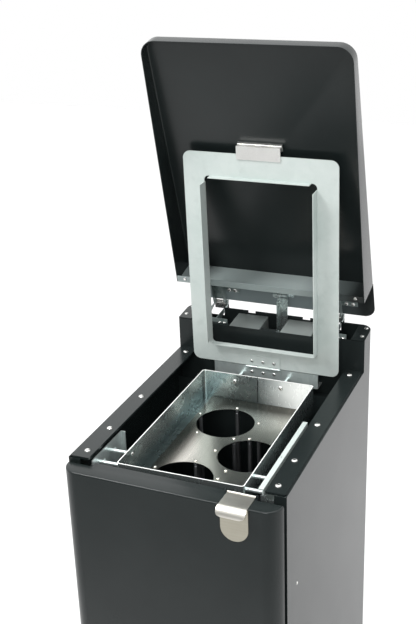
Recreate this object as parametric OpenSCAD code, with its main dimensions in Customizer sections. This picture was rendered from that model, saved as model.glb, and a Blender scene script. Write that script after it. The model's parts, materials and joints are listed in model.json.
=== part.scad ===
// Waste and cup station: a narrow steel cabinet with a front door, a wedge-shaped lid,
// a bag clamping ring, a tray with three cup holes and a foot pedal that lifts the lid.
// Millimetres, +Z up. Origin on the floor under the middle of the cabinet's footprint.
// The front of the cabinet looks along -Y.

/* [Cabinet] */
// outer width over the two side panels
cabinet_w = 400; // [398:1:402]
// depth from the side panels' front edges to the rear face
cabinet_d = 550; // [549:0.5:551]
// height of the two top rails above the floor
deck_h = 850; // [840:5:900]
// thickness of the folded cabinet sheet
sheet = 2; // [1.8:0.1:2]
// radius of the two upright rear corners
rear_r = 22; // [18:1:24]

/* [Top rails and tower] */
// width of one top rail
rail_w = 34; // [32:1:35]
// depth from the cabinet front to the tower's front wall
tower_y = 485; // [484:0.5:486]
// height of the tower's top above the rails, at its front wall
tower_h = 67; // [66:0.5:67]
// height of the tower's front wall above the rails
tower_wall_h = 60.5; // [58:0.5:62]

/* [Lid] */
// reach of the closed lid in front of the side panels
lid_overhang = 38; // [36:0.5:38]
// width over the lid's two skirts
lid_w = 397; // [396:0.5:398]
// slope of the closed lid, rising to the rear
lid_slope = 4.87; // [4.8:0.01:4.9]
// lid sheet thickness
lid_t = 1.5; // [1.2:0.1:1.5]
// radius of the lid's two front corners
lid_front_r = 29; // [24:1:32]
// angle the lid is opened by in the rest pose
lid_open = 77; // [76:0.5:77.5]

/* [Clamp ring] */
// width of the clamp ring
ring_w = 311; // [308:1:314]
// reach of the clamp ring from its hinge to its free edge
ring_l = 447; // [444:1:449]
// ring sheet thickness
ring_t = 2; // [1.8:0.1:2]
// angle the ring is raised by in the rest pose
ring_open = 88; // [87:0.5:89]

/* [Tray and cup holes] */
// width of the bag tray
tray_w = 236; // [235:0.5:237]
// length of the bag tray, front to rear
tray_l = 394; // [393:0.5:395]
// depth of the bag tray
tray_h = 60; // [56:1:64]
// radius of one cup hole
cup_r = 57.5; // [55:0.5:58]
// radius of the circle of guide rods around one cup hole
rod_circle_r = 65; // [64.5:0.1:65.5]
// length of a guide rod
rod_l = 560; // [500:10:580]

/* [Door] */
// depth of the door, which is also the radius of its upright corners
door_d = 30; // [29:0.5:31]
// angle the door stands ajar in the rest pose
door_ajar = 1.5; // [0.5:0.1:2]
// height of the door's lower edge above the floor
door_bottom = 105; // [104:1:110]

/* [Pedal] */
// slope of the pressed pedal lever in the rest pose
pedal_slope = 5.5; // [5.3:0.1:5.6]

/* [View] */
// sub-part to draw, or all of them

/* [Hidden] */
$fn = 64;
tiny = 0.01;

// the deck frame: X across, Y from the cabinet's front edge, Z from the rail tops
half_w = cabinet_w / 2;
floor_z = -deck_h;
inner_w = half_w - sheet;
side_flat_y = cabinet_d - rear_r;
rear_inner_y = cabinet_d - sheet;
flange_w = 32;
front_fold_w = 22;

rail_x0 = 162;
rail_x1 = rail_x0 + rail_w;
rail_front_y = 3;
rail_fold = 4.5;
rail_rivet_x = rail_x0 + 14.6;
rail_rivet_y = [26, 111, 244, 461];
rivet_r = 5.3;
rivet_h = 2.2;

// the tower behind the deck, its top parallel to the closed lid
tower_slope = lid_slope;
post_x0 = 151;
post_low_z = -80;
wall_lip = 12;
cap_x0 = 172;
cap_rivet_x = 190;
cap_rivet_y = [502, 536];
cover_x = [22.5, 88];
cover_y = [tower_y + sheet, 546];
cover_top_z = 60;
small_notch_x = 60;
small_notch_w = 16;
small_notch_h = 5;

partition_y = 463;
partition_top_z = -60;
wall_low_z = partition_top_z;
base_z = 100 - deck_h;
plinth_y = 30;

// lid: modelled closed in the deck frame, then opened about its hinge
lid_hinge_y = 573.9;
lid_hinge_z = 75;
lid_hinge_below = 2.7;
lid_front_y = -lid_overhang;
lid_free_z = 1;
lid_wall_y = 482;
lid_rear_r = 23;
lid_rear_gap = 6.3;
lid_rear_y = lid_hinge_y - lid_rear_gap;
arm_w = 26;
arm_x = [-152, 104];
arm_l = 59;
arm_h = 13;
arm_t = 2;
ear_t = 2;
ear_gap = 1;
hinge_pin_r = 3;
running_gap = 0.05;
arm_plate_w = 34;
hinge_slot_w = arm_w + 2 * (ear_gap + ear_t) + 2;
hinge_slot_h = 18;
bracket_y = 504;
bracket_z = [42, 66];

// lift bar: hangs from a lug under the lid, at x 0.5 to 21.5
bar_x = [0.5, 21.5];
bar_t = 4;
bar_pin_y = 523.9;
bar_pin_z = 53.3;
bar_eye_r = 6;
bar_pin_r = 3;
bar_low_z = 94 - deck_h;
lug_x = [-6, -1];

// clamp ring: modelled lying closed on the tray, then raised about its hinge
ring_hinge_y = 454;
ring_hinge_z = -9;
ring_under = 2.2;
ring_corner_r = 15;
ring_hole_w = 227;
ring_hole_s = [43, 400];
ring_edge_s = 1.5;
ring_flange_t = 1.5;
ring_side_flange = 26;
ring_front_flange = 12;
ring_rear_flange = 12;
ring_hole_r = 9;
ring_relief = 12;
ring_hinge_x = [-38, 33.5];
ring_rivet_x = [-27, -3, 20.6];
knuckle_r = 2;
knuckle_x = [-15, 10.5];
leaf_t = 1.4;
ring_pin_r = 1;
grip_x = [-45, 43];

// tray, cup plate and their fixings
tray_t = 1.5;
tray_y0 = 20;
tray_top_z = -10.7;
tray_low_z = tray_top_z - tray_h;
tray_r = 6;
tray_open_x = [-97.5, 113];
tray_open_y = [36.5, 392.5];
plate_x = [-99, 115.5];
plate_y = [23, 411];
plate_low_z = tray_low_z + tray_t;
plate_top_z = plate_low_z + tray_t;
cup_holes = [[-31, 312.5, 90], [55.3, 207.5, 108], [-30, 96, 90]];
rods_per_hole = 5;
rod_r = 4;
spacer_r = 3.5;
spacer_y = [36, 79];
spacer_z = -24.5;
rear_spacer_x = 49;
rear_spacer_z = -27;
cross_y = 456.4;
cross_x = [-110, 113];
cross_top_z = -9;
cross_h = 31;
left_bracket_x = -162;
right_bracket_x = 150;
bracket_h = 48;

// door: modelled shut, then turned ajar about its hinge
door_gap = 4;
door_front_y = -door_gap - door_d;
door_top_z = -10;
door_low_z = door_bottom - deck_h;
door_axis = [-193, -11];
door_pin_r = 2.5;
door_hinge_z = [-40, door_low_z + 40];
door_tongue_x = 152.2;
door_tongue_y = 9;
latch_x = [99, 149];
latch_t = 1.5;
latch_bend_r = 14;
latch_z = door_top_z + 0.6;
latch_rod_y = 3;
latch_rod_z = door_top_z + 2;
latch_rod_r = 1.5;
latch_lug_t = 2.5;
latch_lug_gap = 0.5;
keeper_x = [153.5, 164];
badge_r = 24.6;
badge_x = 125.4;

// pedal lever under the base pan
pedal_pivot_y = 150;
pedal_pivot_z = 50 - deck_h;
pedal_pin_r = 5;
pedal_front = -245;
pedal_rear = 385;
lever_w = 30;
lever_h = 10;

// ---------- helpers ----------

module deck() {
  translate([0, -cabinet_d / 2, deck_h]) children();
}

// a box given by its two extreme corners
module block(low, high) {
  translate(low) cube(high - low);
}

// a shape drawn in the Y-Z plane, extruded from x0 to x1
module across(x0, x1) {
  translate([x0, 0, 0]) rotate([90, 0, 90]) linear_extrude(x1 - x0) children();
}

// a round bar along X from x0 to x1
module bar_along_x(x0, x1, y, z, r) {
  translate([x0, y, z]) rotate([0, 90, 0]) cylinder(h = x1 - x0, r = r);
}

// a low round fastener head standing on z = 0
module head(r, h) {
  cylinder(h = h * 0.5, r = r);
  translate([0, 0, h * 0.5]) cylinder(h = h * 0.5, r1 = r, r2 = r * 0.7);
}

// a rectangle with its four corners rounded
module round_rect(x0, y0, x1, y1, r) {
  translate([x0 + r, y0]) square([x1 - x0 - 2 * r, y1 - y0]);
  translate([x0, y0 + r]) square([x1 - x0, y1 - y0 - 2 * r]);
  for (x = [x0 + r, x1 - r], y = [y0 + r, y1 - r])
    translate([x, y]) circle(r);
}

// everything below the plane of the tower top, lowered by drop
module below_slope(drop) {
  translate([0, tower_y, tower_h - drop]) rotate([tower_slope, 0, 0])
    translate([-300, -100, -1200]) cube([600, 300, 1200]);
}

// places a closed lid piece at the angle of the rest pose
module opened_lid() {
  deck() translate([0, lid_hinge_y, lid_hinge_z]) rotate([-lid_open, 0, 0])
    translate([0, -lid_hinge_y, -lid_hinge_z]) children();
}

// the lid's own frame: origin on the hinge axis, -Y along the sheet to the front
module lid_sheet_frame() {
  opened_lid() translate([0, lid_hinge_y, lid_hinge_z]) rotate([lid_slope, 0, 0]) children();
}

// places a closed ring piece at the angle of the rest pose
module raised_ring() {
  deck() translate([0, ring_hinge_y, ring_hinge_z]) rotate([-ring_open, 0, 0]) children();
}

// places a shut door piece at the angle of the rest pose
module ajar_door() {
  deck() translate([door_axis[0], door_axis[1], 0]) rotate([0, 0, -door_ajar])
    translate([-door_axis[0], -door_axis[1], 0]) children();
}

// ---------- cabinet ----------

// the right-hand panel, in the deck frame
module side_panel() {
  difference() {
    union() {
      block([inner_w, 0, floor_z], [half_w, tower_y, -sheet]);
      block([inner_w, tower_y, floor_z], [half_w, side_flat_y, 100]);
    }
    translate([0, tower_y, tower_h]) rotate([tower_slope, 0, 0]) cube([300, 200, 200]);
  }
  block([half_w - flange_w, 6, -2 * sheet], [inner_w, tower_y, -sheet]);
  block([half_w - front_fold_w, 0, floor_z], [inner_w, sheet, -2 * sheet]);
}

module right_side_panel() {
  color("dimgray") deck() side_panel();
}

module left_side_panel() {
  color("dimgray") deck() mirror([1, 0, 0]) side_panel();
}

module rear_outline(inset) {
  round_rect(-half_w + inset, 200, half_w - inset, cabinet_d - inset, rear_r - inset);
}

module rear_panel() {
  color("dimgray") deck() intersection() {
    difference() {
      translate([0, 0, floor_z]) linear_extrude(deck_h + 80) difference() {
        rear_outline(0);
        rear_outline(sheet);
        translate([-half_w - 1, 0]) square([cabinet_w + 2, side_flat_y]);
      }
      // slots that let the lid hinges through the upper edge
      for (x = arm_x)
        block([x - 4, rear_inner_y - 1, tower_h + 5.5 - hinge_slot_h],
              [x - 4 + hinge_slot_w, cabinet_d + 1, 100]);
      for (x = [-small_notch_x, small_notch_x])
        block([x - small_notch_w / 2, rear_inner_y - 1, tower_h + 5.5 - small_notch_h],
              [x + small_notch_w / 2, cabinet_d + 1, 100]);
    }
    below_slope(0);
  }
}

// the space between the side panels, seen from above
module floor_outline() {
  intersection() {
    round_rect(-inner_w, -100, inner_w, rear_inner_y, rear_r - sheet);
    translate([-inner_w, 2 * sheet]) square([2 * inner_w, cabinet_d]);
  }
}

module base_pan() {
  color("dimgray") deck() difference() {
    translate([0, 0, base_z - sheet]) linear_extrude(sheet) floor_outline();
    // the opening that the lift bar passes through
    block([-8, 504, base_z - 10], [30, rear_inner_y - 2, base_z + 10]);
  }
}

module plinth_front() {
  color("black") deck() difference() {
    block([-inner_w, plinth_y, floor_z + sheet], [inner_w, plinth_y + sheet, base_z - sheet]);
    block([-lever_w / 2 - 6, plinth_y - 1, floor_z + 26],
          [lever_w / 2 + 6, plinth_y + sheet + 1, floor_z + 76]);
  }
}

module floor_plate() {
  color("dimgray") deck() translate([0, 0, floor_z]) linear_extrude(sheet) floor_outline();
}

// the right-hand rail, in the deck frame
module rail() {
  block([rail_x0, rail_front_y, -sheet], [rail_x1, tower_y, 0]);
  block([rail_x0, rail_front_y, -rail_fold], [rail_x0 + sheet, tower_y, -sheet]);
  block([rail_x0 + sheet, rail_front_y, -rail_fold], [rail_x1, rail_front_y + sheet, -sheet]);
}

module right_rail() {
  color("dimgray") deck() rail();
}

module left_rail() {
  color("dimgray") deck() mirror([1, 0, 0]) rail();
}

module rail_rivets() {
  color("lightgray") deck() for (x = [-rail_rivet_x, rail_rivet_x], y = rail_rivet_y)
    translate([x, y, 0]) head(rivet_r, rivet_h);
}

// ---------- tower ----------

module tower_front_wall() {
  color("dimgray") deck() {
    block([-post_x0, tower_y, wall_low_z], [post_x0, tower_y + sheet, tower_wall_h]);
    difference() {
      block([-post_x0, tower_y + sheet, tower_wall_h - sheet],
            [post_x0, tower_y + wall_lip, tower_wall_h]);
      // the lip stops short of the two box covers and the hinge brackets
      for (side = [-1, 1])
        block([side * 55.25 - 36, tower_y, 0], [side * 55.25 + 36, tower_y + 20, 100]);
    }
  }
}

module post() {
  block([post_x0, tower_y, post_low_z], [inner_w, tower_y + sheet, tower_h - sheet - 1]);
  block([post_x0, tower_y + sheet, post_low_z], [post_x0 + sheet, tower_y + 16, bracket_z[0] - 4]);
}

module right_tower_post() {
  color("dimgray") deck() post();
}

module left_tower_post() {
  color("dimgray") deck() mirror([1, 0, 0]) post();
}

// the sloping ledge on top of one tower side, lying between the panel and the hinge gap
module cap() {
  difference() {
    intersection() {
      translate([0, 0, 40]) linear_extrude(60) intersection() {
        rear_outline(sheet);
        translate([cap_x0, tower_y]) square([half_w, 100]);
      }
      below_slope(0);
    }
    below_slope(sheet);
  }
}

module right_tower_cap() {
  color("dimgray") deck() cap();
}

module left_tower_cap() {
  color("dimgray") deck() mirror([1, 0, 0]) cap();
}

module tower_rivets() {
  color("lightgray") deck() for (x = [-cap_rivet_x, cap_rivet_x], y = cap_rivet_y)
    translate([0, tower_y, tower_h]) rotate([tower_slope, 0, 0])
      translate([x, y - tower_y, 0]) head(4, 1);
}

// one box-shaped cover in the tower, open below
module box_cover() {
  wall = 1.5;
  intersection() {
    difference() {
      block([cover_x[0], cover_y[0], 0], [cover_x[1], cover_y[1], 80]);
      intersection() {
        block([cover_x[0] + wall, cover_y[0] + wall, -1],
              [cover_x[1] - wall, cover_y[1] - wall, 80]);
        below_slope(tower_h - cover_top_z + wall);
      }
    }
    below_slope(tower_h - cover_top_z);
  }
}

module right_cover() {
  color("black") deck() box_cover();
}

module left_cover() {
  color("black") deck() mirror([1, 0, 0]) box_cover();
}

module rear_partition() {
  color("dimgray") deck() {
    block([-inner_w, partition_y, base_z], [inner_w, partition_y + sheet, partition_top_z]);
    block([-post_x0 + 1, partition_y + sheet, partition_top_z - sheet],
          [post_x0 - 1, tower_y + sheet, partition_top_z - tiny]);
  }
}

// ---------- lid hinges on the cabinet ----------

module ear_outline() {
  difference() {
    union() {
      polygon([[506, 42], [506, 66], [566, 70.5], [575, 71.2], [574.6, 70.1], [552, 60],
               [540, 58], [522, 42]]);
      translate([lid_hinge_y, lid_hinge_z]) circle(5.5);
    }
    translate([lid_hinge_y, lid_hinge_z]) circle(hinge_pin_r);
  }
}

// two ears and a foot, around the lid arm that starts at x
module lid_bracket(x) {
  ear_x0 = x - ear_gap - ear_t;
  ear_x1 = x + arm_w + ear_gap;
  across(ear_x0, ear_x0 + ear_t) ear_outline();
  across(ear_x1, ear_x1 + ear_t) ear_outline();
  block([ear_x0, bracket_y, bracket_z[0]], [ear_x1 + ear_t, bracket_y + ear_t, bracket_z[1]]);
  block([ear_x0, tower_y + sheet, bracket_z[0]], [ear_x1 + ear_t, bracket_y, bracket_z[0] + ear_t]);
  // the ear-side plate that takes the two screws
  block([ear_x1 + ear_t, bracket_y, bracket_z[0] + 4],
        [ear_x1 + ear_t + 24, bracket_y + ear_t, bracket_z[1]]);
}

module left_lid_bracket() {
  color("silver") deck() lid_bracket(arm_x[0]);
}

module right_lid_bracket() {
  color("silver") deck() lid_bracket(arm_x[1]);
}

module lid_hinge_pins() {
  color("silver") deck() for (x = arm_x)
    bar_along_x(x - ear_gap - ear_t - 1.5, x + arm_w + ear_gap + ear_t + 1.5,
                lid_hinge_y, lid_hinge_z, hinge_pin_r);
}

module bracket_screws() {
  color("silver") deck() for (x = arm_x, dx = [8, 18])
    translate([x + arm_w + ear_gap + ear_t + dx, bracket_y, 56]) rotate([90, 0, 0]) head(4, 2.5);
}

// ---------- ring hinge and crossbar ----------

module rear_crossbar() {
  color("silver") deck() {
    block([cross_x[0], cross_y, cross_top_z - cross_h], [cross_x[1], cross_y + sheet, cross_top_z]);
    block([cross_x[0], cross_y + sheet, cross_top_z - sheet], [cross_x[1], tower_y, cross_top_z]);
    block([cross_x[0], cross_y + sheet, cross_top_z - cross_h],
          [cross_x[1], tower_y, cross_top_z - cross_h + sheet]);
  }
}

// knuckle tube around the ring hinge axis
module knuckle(x0, x1, gap) {
  difference() {
    bar_along_x(x0, x1, ring_hinge_y, ring_hinge_z, knuckle_r);
    bar_along_x(x0 - 1, x1 + 1, ring_hinge_y, ring_hinge_z, ring_pin_r + gap);
  }
}

module ring_lower_leaf() {
  leaf_y = cross_y - leaf_t;
  color("silver") deck() {
    block([ring_hinge_x[0], leaf_y, ring_hinge_z - 25], [ring_hinge_x[1], cross_y, ring_hinge_z - 2.6]);
    for (x = [[ring_hinge_x[0], knuckle_x[0]], [knuckle_x[1], ring_hinge_x[1]]]) {
      knuckle(x[0], x[1], 0);
      block([x[0], leaf_y, ring_hinge_z - 2.6], [x[1], cross_y, ring_hinge_z - 1.4]);
    }
  }
}

module ring_hinge_pin() {
  color("silver") deck()
    bar_along_x(ring_hinge_x[0] - 1, ring_hinge_x[1] + 1, ring_hinge_y, ring_hinge_z, ring_pin_r);
}

module leaf_rivets() {
  color("silver") deck() for (x = ring_rivet_x)
    translate([x, cross_y - leaf_t, ring_hinge_z - 12]) rotate([90, 0, 0]) head(3.5, 1.6);
}

// ---------- tray ----------

module left_tray_bracket() {
  low_z = door_top_z - bracket_h;
  color("silver") deck() {
    block([left_bracket_x, 12, low_z], [left_bracket_x + sheet, 126, door_top_z]);
    block([left_bracket_x + sheet, 124, low_z], [left_bracket_x + 9, 126, door_top_z]);
    block([-inner_w, 12, low_z - sheet], [left_bracket_x + sheet, 126, low_z]);
    for (y = [55, 97])
      translate([left_bracket_x + sheet, y, -33]) rotate([0, 90, 0]) head(3.5, 1.6);
  }
}

module right_tray_bracket() {
  low_z = door_top_z - bracket_h;
  color("silver") deck() difference() {
    union() {
      block([right_bracket_x, 22, low_z], [right_bracket_x + sheet, 265, door_top_z]);
      block([right_bracket_x - 7, 22, door_top_z - sheet], [right_bracket_x, 265, door_top_z]);
      block([right_bracket_x, 22, low_z - sheet], [inner_w, 265, low_z]);
    }
    translate([right_bracket_x - 3.5, 131, -20]) cylinder(h = 20, r = 1.6);
  }
}

module spacers() {
  tray_x = tray_w / 2;
  color("silver") deck() {
    for (y = spacer_y) {
      bar_along_x(left_bracket_x + sheet, -tray_x, y, spacer_z, spacer_r);
      bar_along_x(tray_x, right_bracket_x, y, spacer_z, spacer_r);
    }
    for (x = [-rear_spacer_x, rear_spacer_x])
      translate([x, cross_y, rear_spacer_z]) rotate([90, 0, 0])
        cylinder(h = cross_y - tray_y0 - tray_l, r = spacer_r);
  }
}

module tray_screws() {
  inner_x = tray_w / 2 - tray_t;
  color("silver") deck() {
    for (x = [-rear_spacer_x, rear_spacer_x])
      translate([x, tray_y0 + tray_l - tray_t, rear_spacer_z]) rotate([90, 0, 0]) head(4.5, 2.2);
    for (y = spacer_y) {
      translate([-inner_x, y, spacer_z]) rotate([0, 90, 0]) head(3.8, 1.8);
      translate([inner_x, y, spacer_z]) rotate([0, -90, 0]) head(3.8, 1.8);
    }
  }
}

module tray_outline(inset) {
  round_rect(-tray_w / 2 + inset, tray_y0 + inset, tray_w / 2 - inset,
             tray_y0 + tray_l - inset, tray_r - inset);
}

module bag_tray() {
  color("silver") deck() difference() {
    translate([0, 0, tray_low_z]) linear_extrude(tray_h) tray_outline(0);
    translate([0, 0, tray_low_z + tray_t]) linear_extrude(tray_h) tray_outline(tray_t);
    block([tray_open_x[0], tray_open_y[0], tray_low_z - 1],
          [tray_open_x[1], tray_open_y[1], tray_low_z + 3]);
    // the seam in the rear wall, where the two ends of the sheet meet
    block([-1, tray_y0 + tray_l - 5, plate_top_z], [1, tray_y0 + tray_l + 1, 0]);
  }
}

module at_rods() {
  for (cup = cup_holes, n = [0 : rods_per_hole - 1])
    translate([cup[0], cup[1], 0]) rotate([0, 0, cup[2] + n * 360 / rods_per_hole])
      translate([rod_circle_r, 0, 0]) children();
}

module cup_plate() {
  color("lightgray") deck() translate([0, 0, plate_low_z]) linear_extrude(tray_t) difference() {
    translate([plate_x[0], plate_y[0]])
      square([plate_x[1] - plate_x[0], plate_y[1] - plate_y[0]]);
    for (cup = cup_holes)
      translate([cup[0], cup[1]]) circle(cup_r);
  }
}

module cup_plate_screws() {
  color("lightgray") deck() at_rods() translate([0, 0, plate_top_z]) head(3.4, 2);
}

module guide_rods() {
  color("gray") deck() at_rods() translate([0, 0, plate_low_z - rod_l]) cylinder(h = rod_l, r = rod_r);
}

module cup_floor() {
  color("silver") deck() translate([0, 0, plate_low_z - rod_l - sheet]) linear_extrude(sheet)
    difference() {
      translate([plate_x[0], plate_y[0]])
        square([plate_x[1] - plate_x[0], plate_y[1] - plate_y[0]]);
      for (cup = cup_holes)
        translate([cup[0], cup[1]]) circle(12);
    }
}

module drip_pan() {
  color("black") deck() difference() {
    translate([0, 0, base_z]) linear_extrude(45) round_rect(-150, 40, 150, 430, 20);
    translate([0, 0, base_z + 2.5]) linear_extrude(45) round_rect(-147.5, 42.5, 147.5, 427.5, 17.5);
  }
}

// ---------- door ----------

module door_hinge_plates() {
  color("silver") deck() for (z = door_hinge_z) {
    block([door_axis[0] - 3.5, door_axis[1] - 4, z], [door_axis[0] + 3.5, 0, z + 3]);
    translate([door_axis[0], door_axis[1], z + 3]) cylinder(h = 14, r = door_pin_r);
  }
}

module door_keeper() {
  color("silver") deck() {
    block([keeper_x[0], 4, door_top_z - 20], [keeper_x[1], 6, door_top_z]);
    block([keeper_x[0], 6, door_top_z - 20], [inner_w, 8, door_top_z - 8]);
  }
}

module side_screw() {
  color("silver") deck() translate([half_w, 52.5, -205.6]) rotate([0, 90, 0]) head(3, 1);
}

module door_outline(inset) {
  r = door_d - inset;
  intersection() {
    round_rect(-half_w + inset, door_front_y + inset, half_w - inset, 100, r);
    translate([-half_w, door_front_y]) square([cabinet_w, door_d]);
  }
}

module door_shell() {
  color("dimgray") ajar_door() {
    difference() {
      translate([0, 0, door_low_z]) linear_extrude(door_top_z - door_low_z) door_outline(0);
      translate([0, 0, door_low_z + sheet])
        linear_extrude(door_top_z - door_low_z - 2 * sheet) door_outline(sheet);
      // notches in the hinge side that clear the two hinge plates
      for (z = door_hinge_z)
        block([-half_w - 1, -22, z - 3], [door_axis[0] + 3, 0, z + 3.5]);
    }
    // the shelf on top reaches back between the two rails
    block([-door_tongue_x, -door_gap, door_top_z - sheet],
          [door_tongue_x, door_tongue_y, door_top_z]);
    door_lugs();
    latch_lugs();
  }
}

// two small lugs on the shelf that hold the latch's rod
module latch_lugs() {
  for (x = [latch_x[0] - latch_lug_gap - latch_lug_t, latch_x[1] + latch_lug_gap])
    difference() {
      block([x, latch_rod_y - 2.5, door_top_z], [x + latch_lug_t, latch_rod_y + 2.5, latch_rod_z + 2.5]);
      bar_along_x(x - 1, x + latch_lug_t + 1, latch_rod_y, latch_rod_z, latch_rod_r + running_gap);
    }
}

// blocks on the door that turn on the cabinet's hinge pins
module door_lugs() {
  for (z = door_hinge_z)
    difference() {
      intersection() {
        block([-half_w, -17, z + 3.5], [-184, -6, z + 16]);
        translate([0, 0, z]) linear_extrude(20) door_outline(0.5);
      }
      translate([door_axis[0], door_axis[1], z - 1]) cylinder(h = 30, r = door_pin_r + running_gap);
    }
}

module door_liner() {
  color("black") ajar_door()
    block([-170, -door_gap - 8, door_low_z + 30], [170, -door_gap - 6, door_top_z - 30]);
}

module badge_plate() {
  color("lightgray") ajar_door() translate([badge_x, door_front_y, 0]) rotate([90, 0, 0])
    linear_extrude(1.5) {
      translate([-badge_r, -50.4]) square([2 * badge_r, 39]);
      translate([0, -50.4]) circle(badge_r);
    }
}

module latch_outline() {
  bend_y = door_front_y - 1;
  outer_r = latch_bend_r + latch_t;
  translate([bend_y, latch_z]) square([latch_rod_y - bend_y, latch_t]);
  translate([bend_y, latch_z - latch_bend_r]) intersection() {
    difference() {
      circle(outer_r);
      circle(latch_bend_r);
    }
    translate([-outer_r, 0]) square([outer_r, outer_r]);
  }
}

// the bent plate and the rod along its rear edge
module latch_plate() {
  color("lightgray") ajar_door() {
    across(latch_x[0], latch_x[1]) latch_outline();
    bar_along_x(latch_x[0] - latch_lug_t, latch_x[1] + latch_lug_t, latch_rod_y, latch_rod_z,
                latch_rod_r);
  }
}

// ---------- lid ----------

// the skirted part of the closed lid seen from above, from its front to the given Y
module lid_outline(inset, rear) {
  w = lid_w / 2 - inset;
  r = lid_front_r - inset;
  front = lid_front_y + inset;
  translate([-w, front + r]) square([2 * w, rear - front - r]);
  translate([-w + r, front]) square([2 * w - 2 * r, r + tiny]);
  for (side = [-1, 1])
    translate([side * (w - r), front + r]) circle(r);
}

// the whole closed lid seen from above, with the flap that covers the tower
module lid_full_outline() {
  w = lid_w / 2;
  lid_outline(0, lid_rear_y - lid_rear_r);
  translate([-w + lid_rear_r, lid_wall_y]) square([lid_w - 2 * lid_rear_r, lid_rear_y - lid_wall_y]);
  for (side = [-1, 1])
    translate([side * (w - lid_rear_r), lid_rear_y - lid_rear_r]) circle(lid_rear_r);
}

// the half space under the closed lid's outer face, lowered by drop
module under_lid(drop) {
  translate([0, lid_hinge_y, lid_hinge_z]) rotate([lid_slope, 0, 0])
    translate([-300, -800, lid_hinge_below - drop - 400]) cube([600, 900, 400]);
}

module lid_shell() {
  color("dimgray") opened_lid() difference() {
    intersection() {
      translate([0, 0, lid_free_z]) linear_extrude(120) lid_full_outline();
      under_lid(0);
    }
    intersection() {
      union() {
        translate([0, 0, lid_free_z - 1]) linear_extrude(120) lid_outline(lid_t, lid_wall_y + 1);
        block([-half_w - 10, lid_wall_y, lid_free_z - 1], [half_w + 10, lid_rear_y + 10, 120]);
      }
      under_lid(lid_t);
    }
  }
}

module lid_rear_wall() {
  inner = lid_w / 2 - lid_t;
  color("dimgray") opened_lid() intersection() {
    union() {
      block([-inner, lid_wall_y - lid_t, lid_free_z], [inner, lid_wall_y, 100]);
      block([-inner, lid_wall_y - 14, lid_free_z], [inner, lid_wall_y - lid_t, lid_free_z + lid_t]);
    }
    under_lid(lid_t);
  }
}

// U-shaped arm from the hinge axis along the lid sheet, with a screw plate beside it
module lid_arm(x) {
  top_z = lid_hinge_below - lid_t;
  lid_sheet_frame() difference() {
    union() {
      for (wall_x = [x, x + arm_w - arm_t]) {
        block([wall_x, -arm_l, top_z - arm_h], [wall_x + arm_t, -lid_rear_gap - 1.5, top_z]);
        across(wall_x, wall_x + arm_t) {
          circle(5);
          translate([-14, -5]) square([14, 6]);
        }
      }
      block([x, -arm_l, top_z - arm_t], [x + arm_w, -lid_rear_gap - 1.5, top_z]);
      block([x + arm_w, -arm_l + 6, top_z - arm_t], [x + arm_w + arm_plate_w, -30, top_z]);
    }
    bar_along_x(x - 1, x + arm_w + 1, 0, 0, hinge_pin_r + running_gap);
  }
}

module left_lid_arm() {
  color("silver") lid_arm(arm_x[0]);
}

module right_lid_arm() {
  color("silver") lid_arm(arm_x[1]);
}

module lid_lug() {
  color("silver") opened_lid() intersection() {
    difference() {
      union() {
        across(lug_x[0], lug_x[1]) {
          translate([bar_pin_y, bar_pin_z]) circle(bar_eye_r);
          translate([bar_pin_y - bar_eye_r, bar_pin_z]) square([2 * bar_eye_r, 40]);
        }
        // foot plate against the lid sheet
        difference() {
          block([-14, 509, 40], [30, 539, 90]);
          under_lid(lid_t + 2);
        }
      }
      bar_along_x(lug_x[0] - 1, lug_x[1] + 1, bar_pin_y, bar_pin_z, bar_pin_r);
    }
    under_lid(lid_t);
  }
}

module lift_pin() {
  color("silver") opened_lid() {
    bar_along_x(lug_x[0] - 1, bar_x[1] + 0.5, bar_pin_y, bar_pin_z, bar_pin_r);
    bar_along_x(lug_x[0] - 3, lug_x[0] - 1, bar_pin_y, bar_pin_z, bar_pin_r + 2);
  }
}

// catch on the lid sheet behind the ring's grip
module lid_catch() {
  top_z = lid_hinge_below - lid_t;
  color("lightgray") lid_sheet_frame() {
    block([grip_x[0], -403, top_z - 6], [grip_x[1], -400, top_z]);
    block([grip_x[0], -400, top_z - 1.5], [grip_x[1], -388, top_z]);
  }
}

module lid_screws() {
  top_z = lid_hinge_below - lid_t;
  color("silver") {
    lid_sheet_frame() for (x = arm_x, p = [[10, -36], [24, -36], [10, -47]])
      translate([x + arm_w + p[0], p[1], top_z - arm_t]) rotate([180, 0, 0]) head(4.5, 3);
    opened_lid() for (x = [-180, 180])
      translate([x, lid_wall_y - 8, lid_free_z]) rotate([180, 0, 0]) head(3.5, 0.8);
  }
}

// ---------- lift bar, in the deck frame at the opened lid ----------

function lifted_y() = lid_hinge_y + (bar_pin_y - lid_hinge_y) * cos(lid_open)
  + (bar_pin_z - lid_hinge_z) * sin(lid_open);
function lifted_z() = lid_hinge_z - (bar_pin_y - lid_hinge_y) * sin(lid_open)
  + (bar_pin_z - lid_hinge_z) * cos(lid_open);

module lift_bar() {
  y = lifted_y();
  z = lifted_z();
  color("silver") deck() difference() {
    union() {
      bar_along_x(bar_x[0], bar_x[1], y, z, bar_eye_r);
      block([bar_x[0], y - bar_t / 2, bar_low_z], [bar_x[1], y + bar_t / 2, z]);
      block([bar_x[0], y - 10, bar_low_z], [bar_x[0] + 2, y - bar_t / 2 + tiny, z - 12]);
    }
    bar_along_x(bar_x[0] - 1, bar_x[1] + 1, y, z, bar_pin_r + running_gap);
  }
}

// ---------- clamp ring, lying closed with its hinge axis at the origin ----------

module ring_plate_outline() {
  w = ring_w / 2;
  difference() {
    round_rect(-w, -ring_l, w, -ring_edge_s, ring_corner_r);
    round_rect(-ring_hole_w / 2, -ring_hole_s[1], ring_hole_w / 2, -ring_hole_s[0], ring_hole_r);
  }
}

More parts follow.
